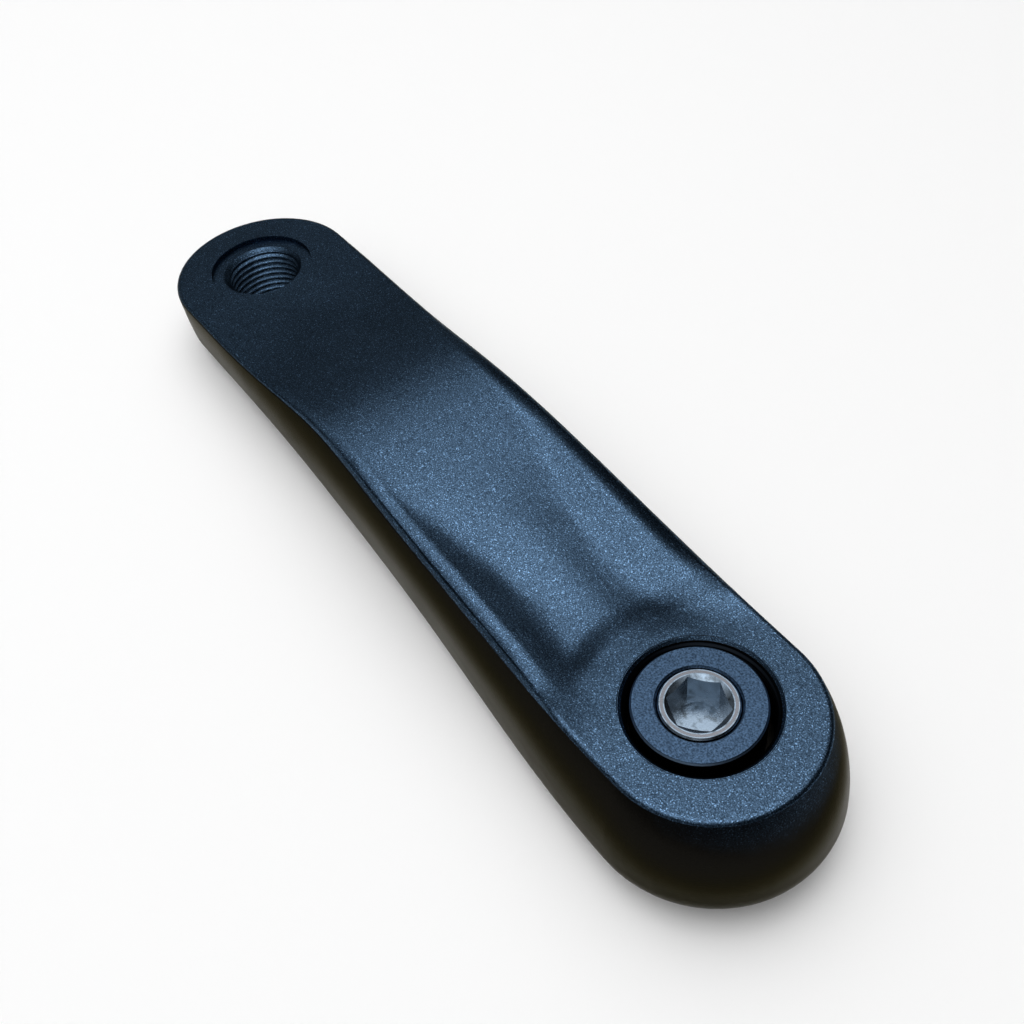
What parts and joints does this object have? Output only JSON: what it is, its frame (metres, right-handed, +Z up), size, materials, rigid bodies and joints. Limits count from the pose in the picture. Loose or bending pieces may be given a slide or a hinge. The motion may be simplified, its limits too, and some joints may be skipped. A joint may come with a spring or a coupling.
{
  "type": "bicycle crank arm",
  "caption": "Black bicycle crank arm with a sculpted face, a threaded pedal hole at the narrow end and a round boss that holds the crank bolt and its collar.",
  "frame": {"origin": "where the spindle axis meets the inboard face of the boss, in the middle of the square socket's mouth", "axes": "+X along the arm from the spindle to the pedal, +Z up from the table the arm lies on, +Y to the left of +X; the arm leans 5.54 degrees about +Y because it lies on the curve of its back beside the boss and on the pedal end"},
  "size_m": [0.1668, 0.0402, 0.025],
  "materials": {
    "black_anodised": "bead-blasted and black anodised, satin with a fine sparkle",
    "black_collar": "fine-turned and black anodised, satin",
    "zinc_steel": "zinc plated, cold-headed, satin"
  },
  "bodies": {
    "root": {"crank_arm": "black_anodised", "bolt_collar": "black_collar", "crank_bolt": "zinc_steel"}
  },
  "joints": []
}
